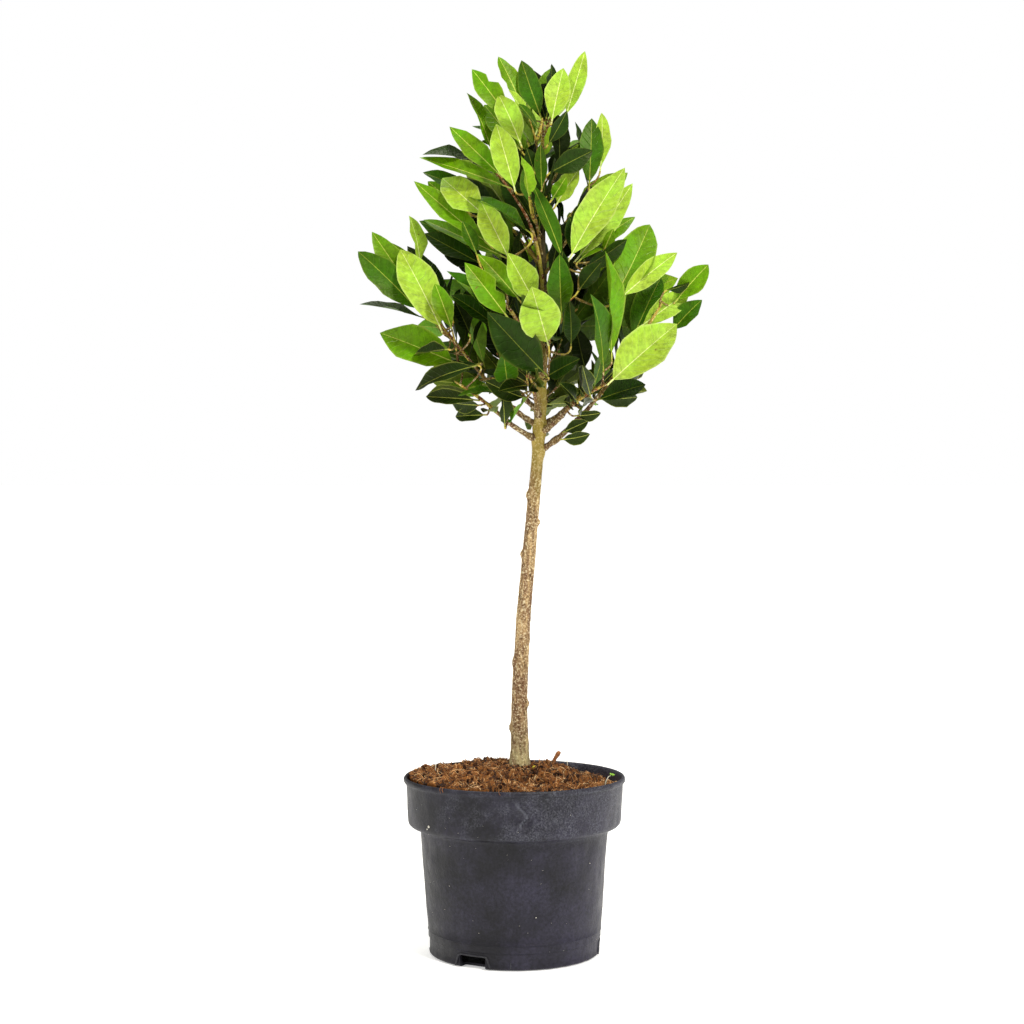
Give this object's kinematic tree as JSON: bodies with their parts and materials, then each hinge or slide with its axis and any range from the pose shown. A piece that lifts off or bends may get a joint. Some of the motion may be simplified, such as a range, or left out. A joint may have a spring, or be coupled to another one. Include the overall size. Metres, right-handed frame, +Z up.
{
  "type": "standard bay topiary",
  "caption": "Bay laurel trained as a standard: one bare, gently leaning trunk under a loose crown of leafy shoots, growing in a round plastic nursery pot of coarse compost.",
  "frame": {"origin": "centre of the pot's flat underside, on the ground", "axes": "+Z up the trunk; the plant's front, the side that the picture shows, faces -Y; +X is to the right of that view"},
  "size_m": [0.3036, 0.2615, 0.7679],
  "materials": {
    "pot": "satin",
    "compost": "matte",
    "bark": "matte",
    "foliage": "satin"
  },
  "bodies": {
    "root": {"pot": "pot", "compost": "compost", "trunk": "bark", "bough_top_left": "bark", "bough_top_right": "bark", "bough_top_front": "bark", "bough_top_back": "bark", "bough_upper_left": "bark", "bough_upper_front": "bark", "bough_upper_right": "bark", "bough_upper_back_right": "bark", "bough_upper_back_left": "bark", "bough_mid_left": "bark", "bough_mid_front_left": "bark", "bough_mid_front": "bark", "bough_mid_right": "bark", "bough_mid_back_right": "bark", "bough_mid_back_left": "bark", "bough_low_left": "bark", "bough_low_front": "bark", "bough_low_right": "bark", "bough_low_back_right": "bark", "bough_low_back": "bark", "bough_low_back_left": "bark", "foliage_top_left": "foliage", "foliage_top_right": "foliage", "foliage_top_front": "foliage", "foliage_top_back": "foliage", "foliage_upper_left": "foliage", "foliage_upper_front": "foliage", "foliage_upper_right": "foliage", "foliage_upper_back_right": "foliage", "foliage_upper_back_left": "foliage", "foliage_mid_left": "foliage", "foliage_mid_front_left": "foliage", "foliage_mid_front": "foliage", "foliage_mid_right": "foliage", "foliage_mid_back_right": "foliage", "foliage_mid_back_left": "foliage", "foliage_low_left": "foliage", "foliage_low_front": "foliage", "foliage_low_right": "foliage", "foliage_low_back_right": "foliage", "foliage_low_back": "foliage", "foliage_low_back_left": "foliage", "foliage_leader": "foliage"}
  },
  "joints": []
}
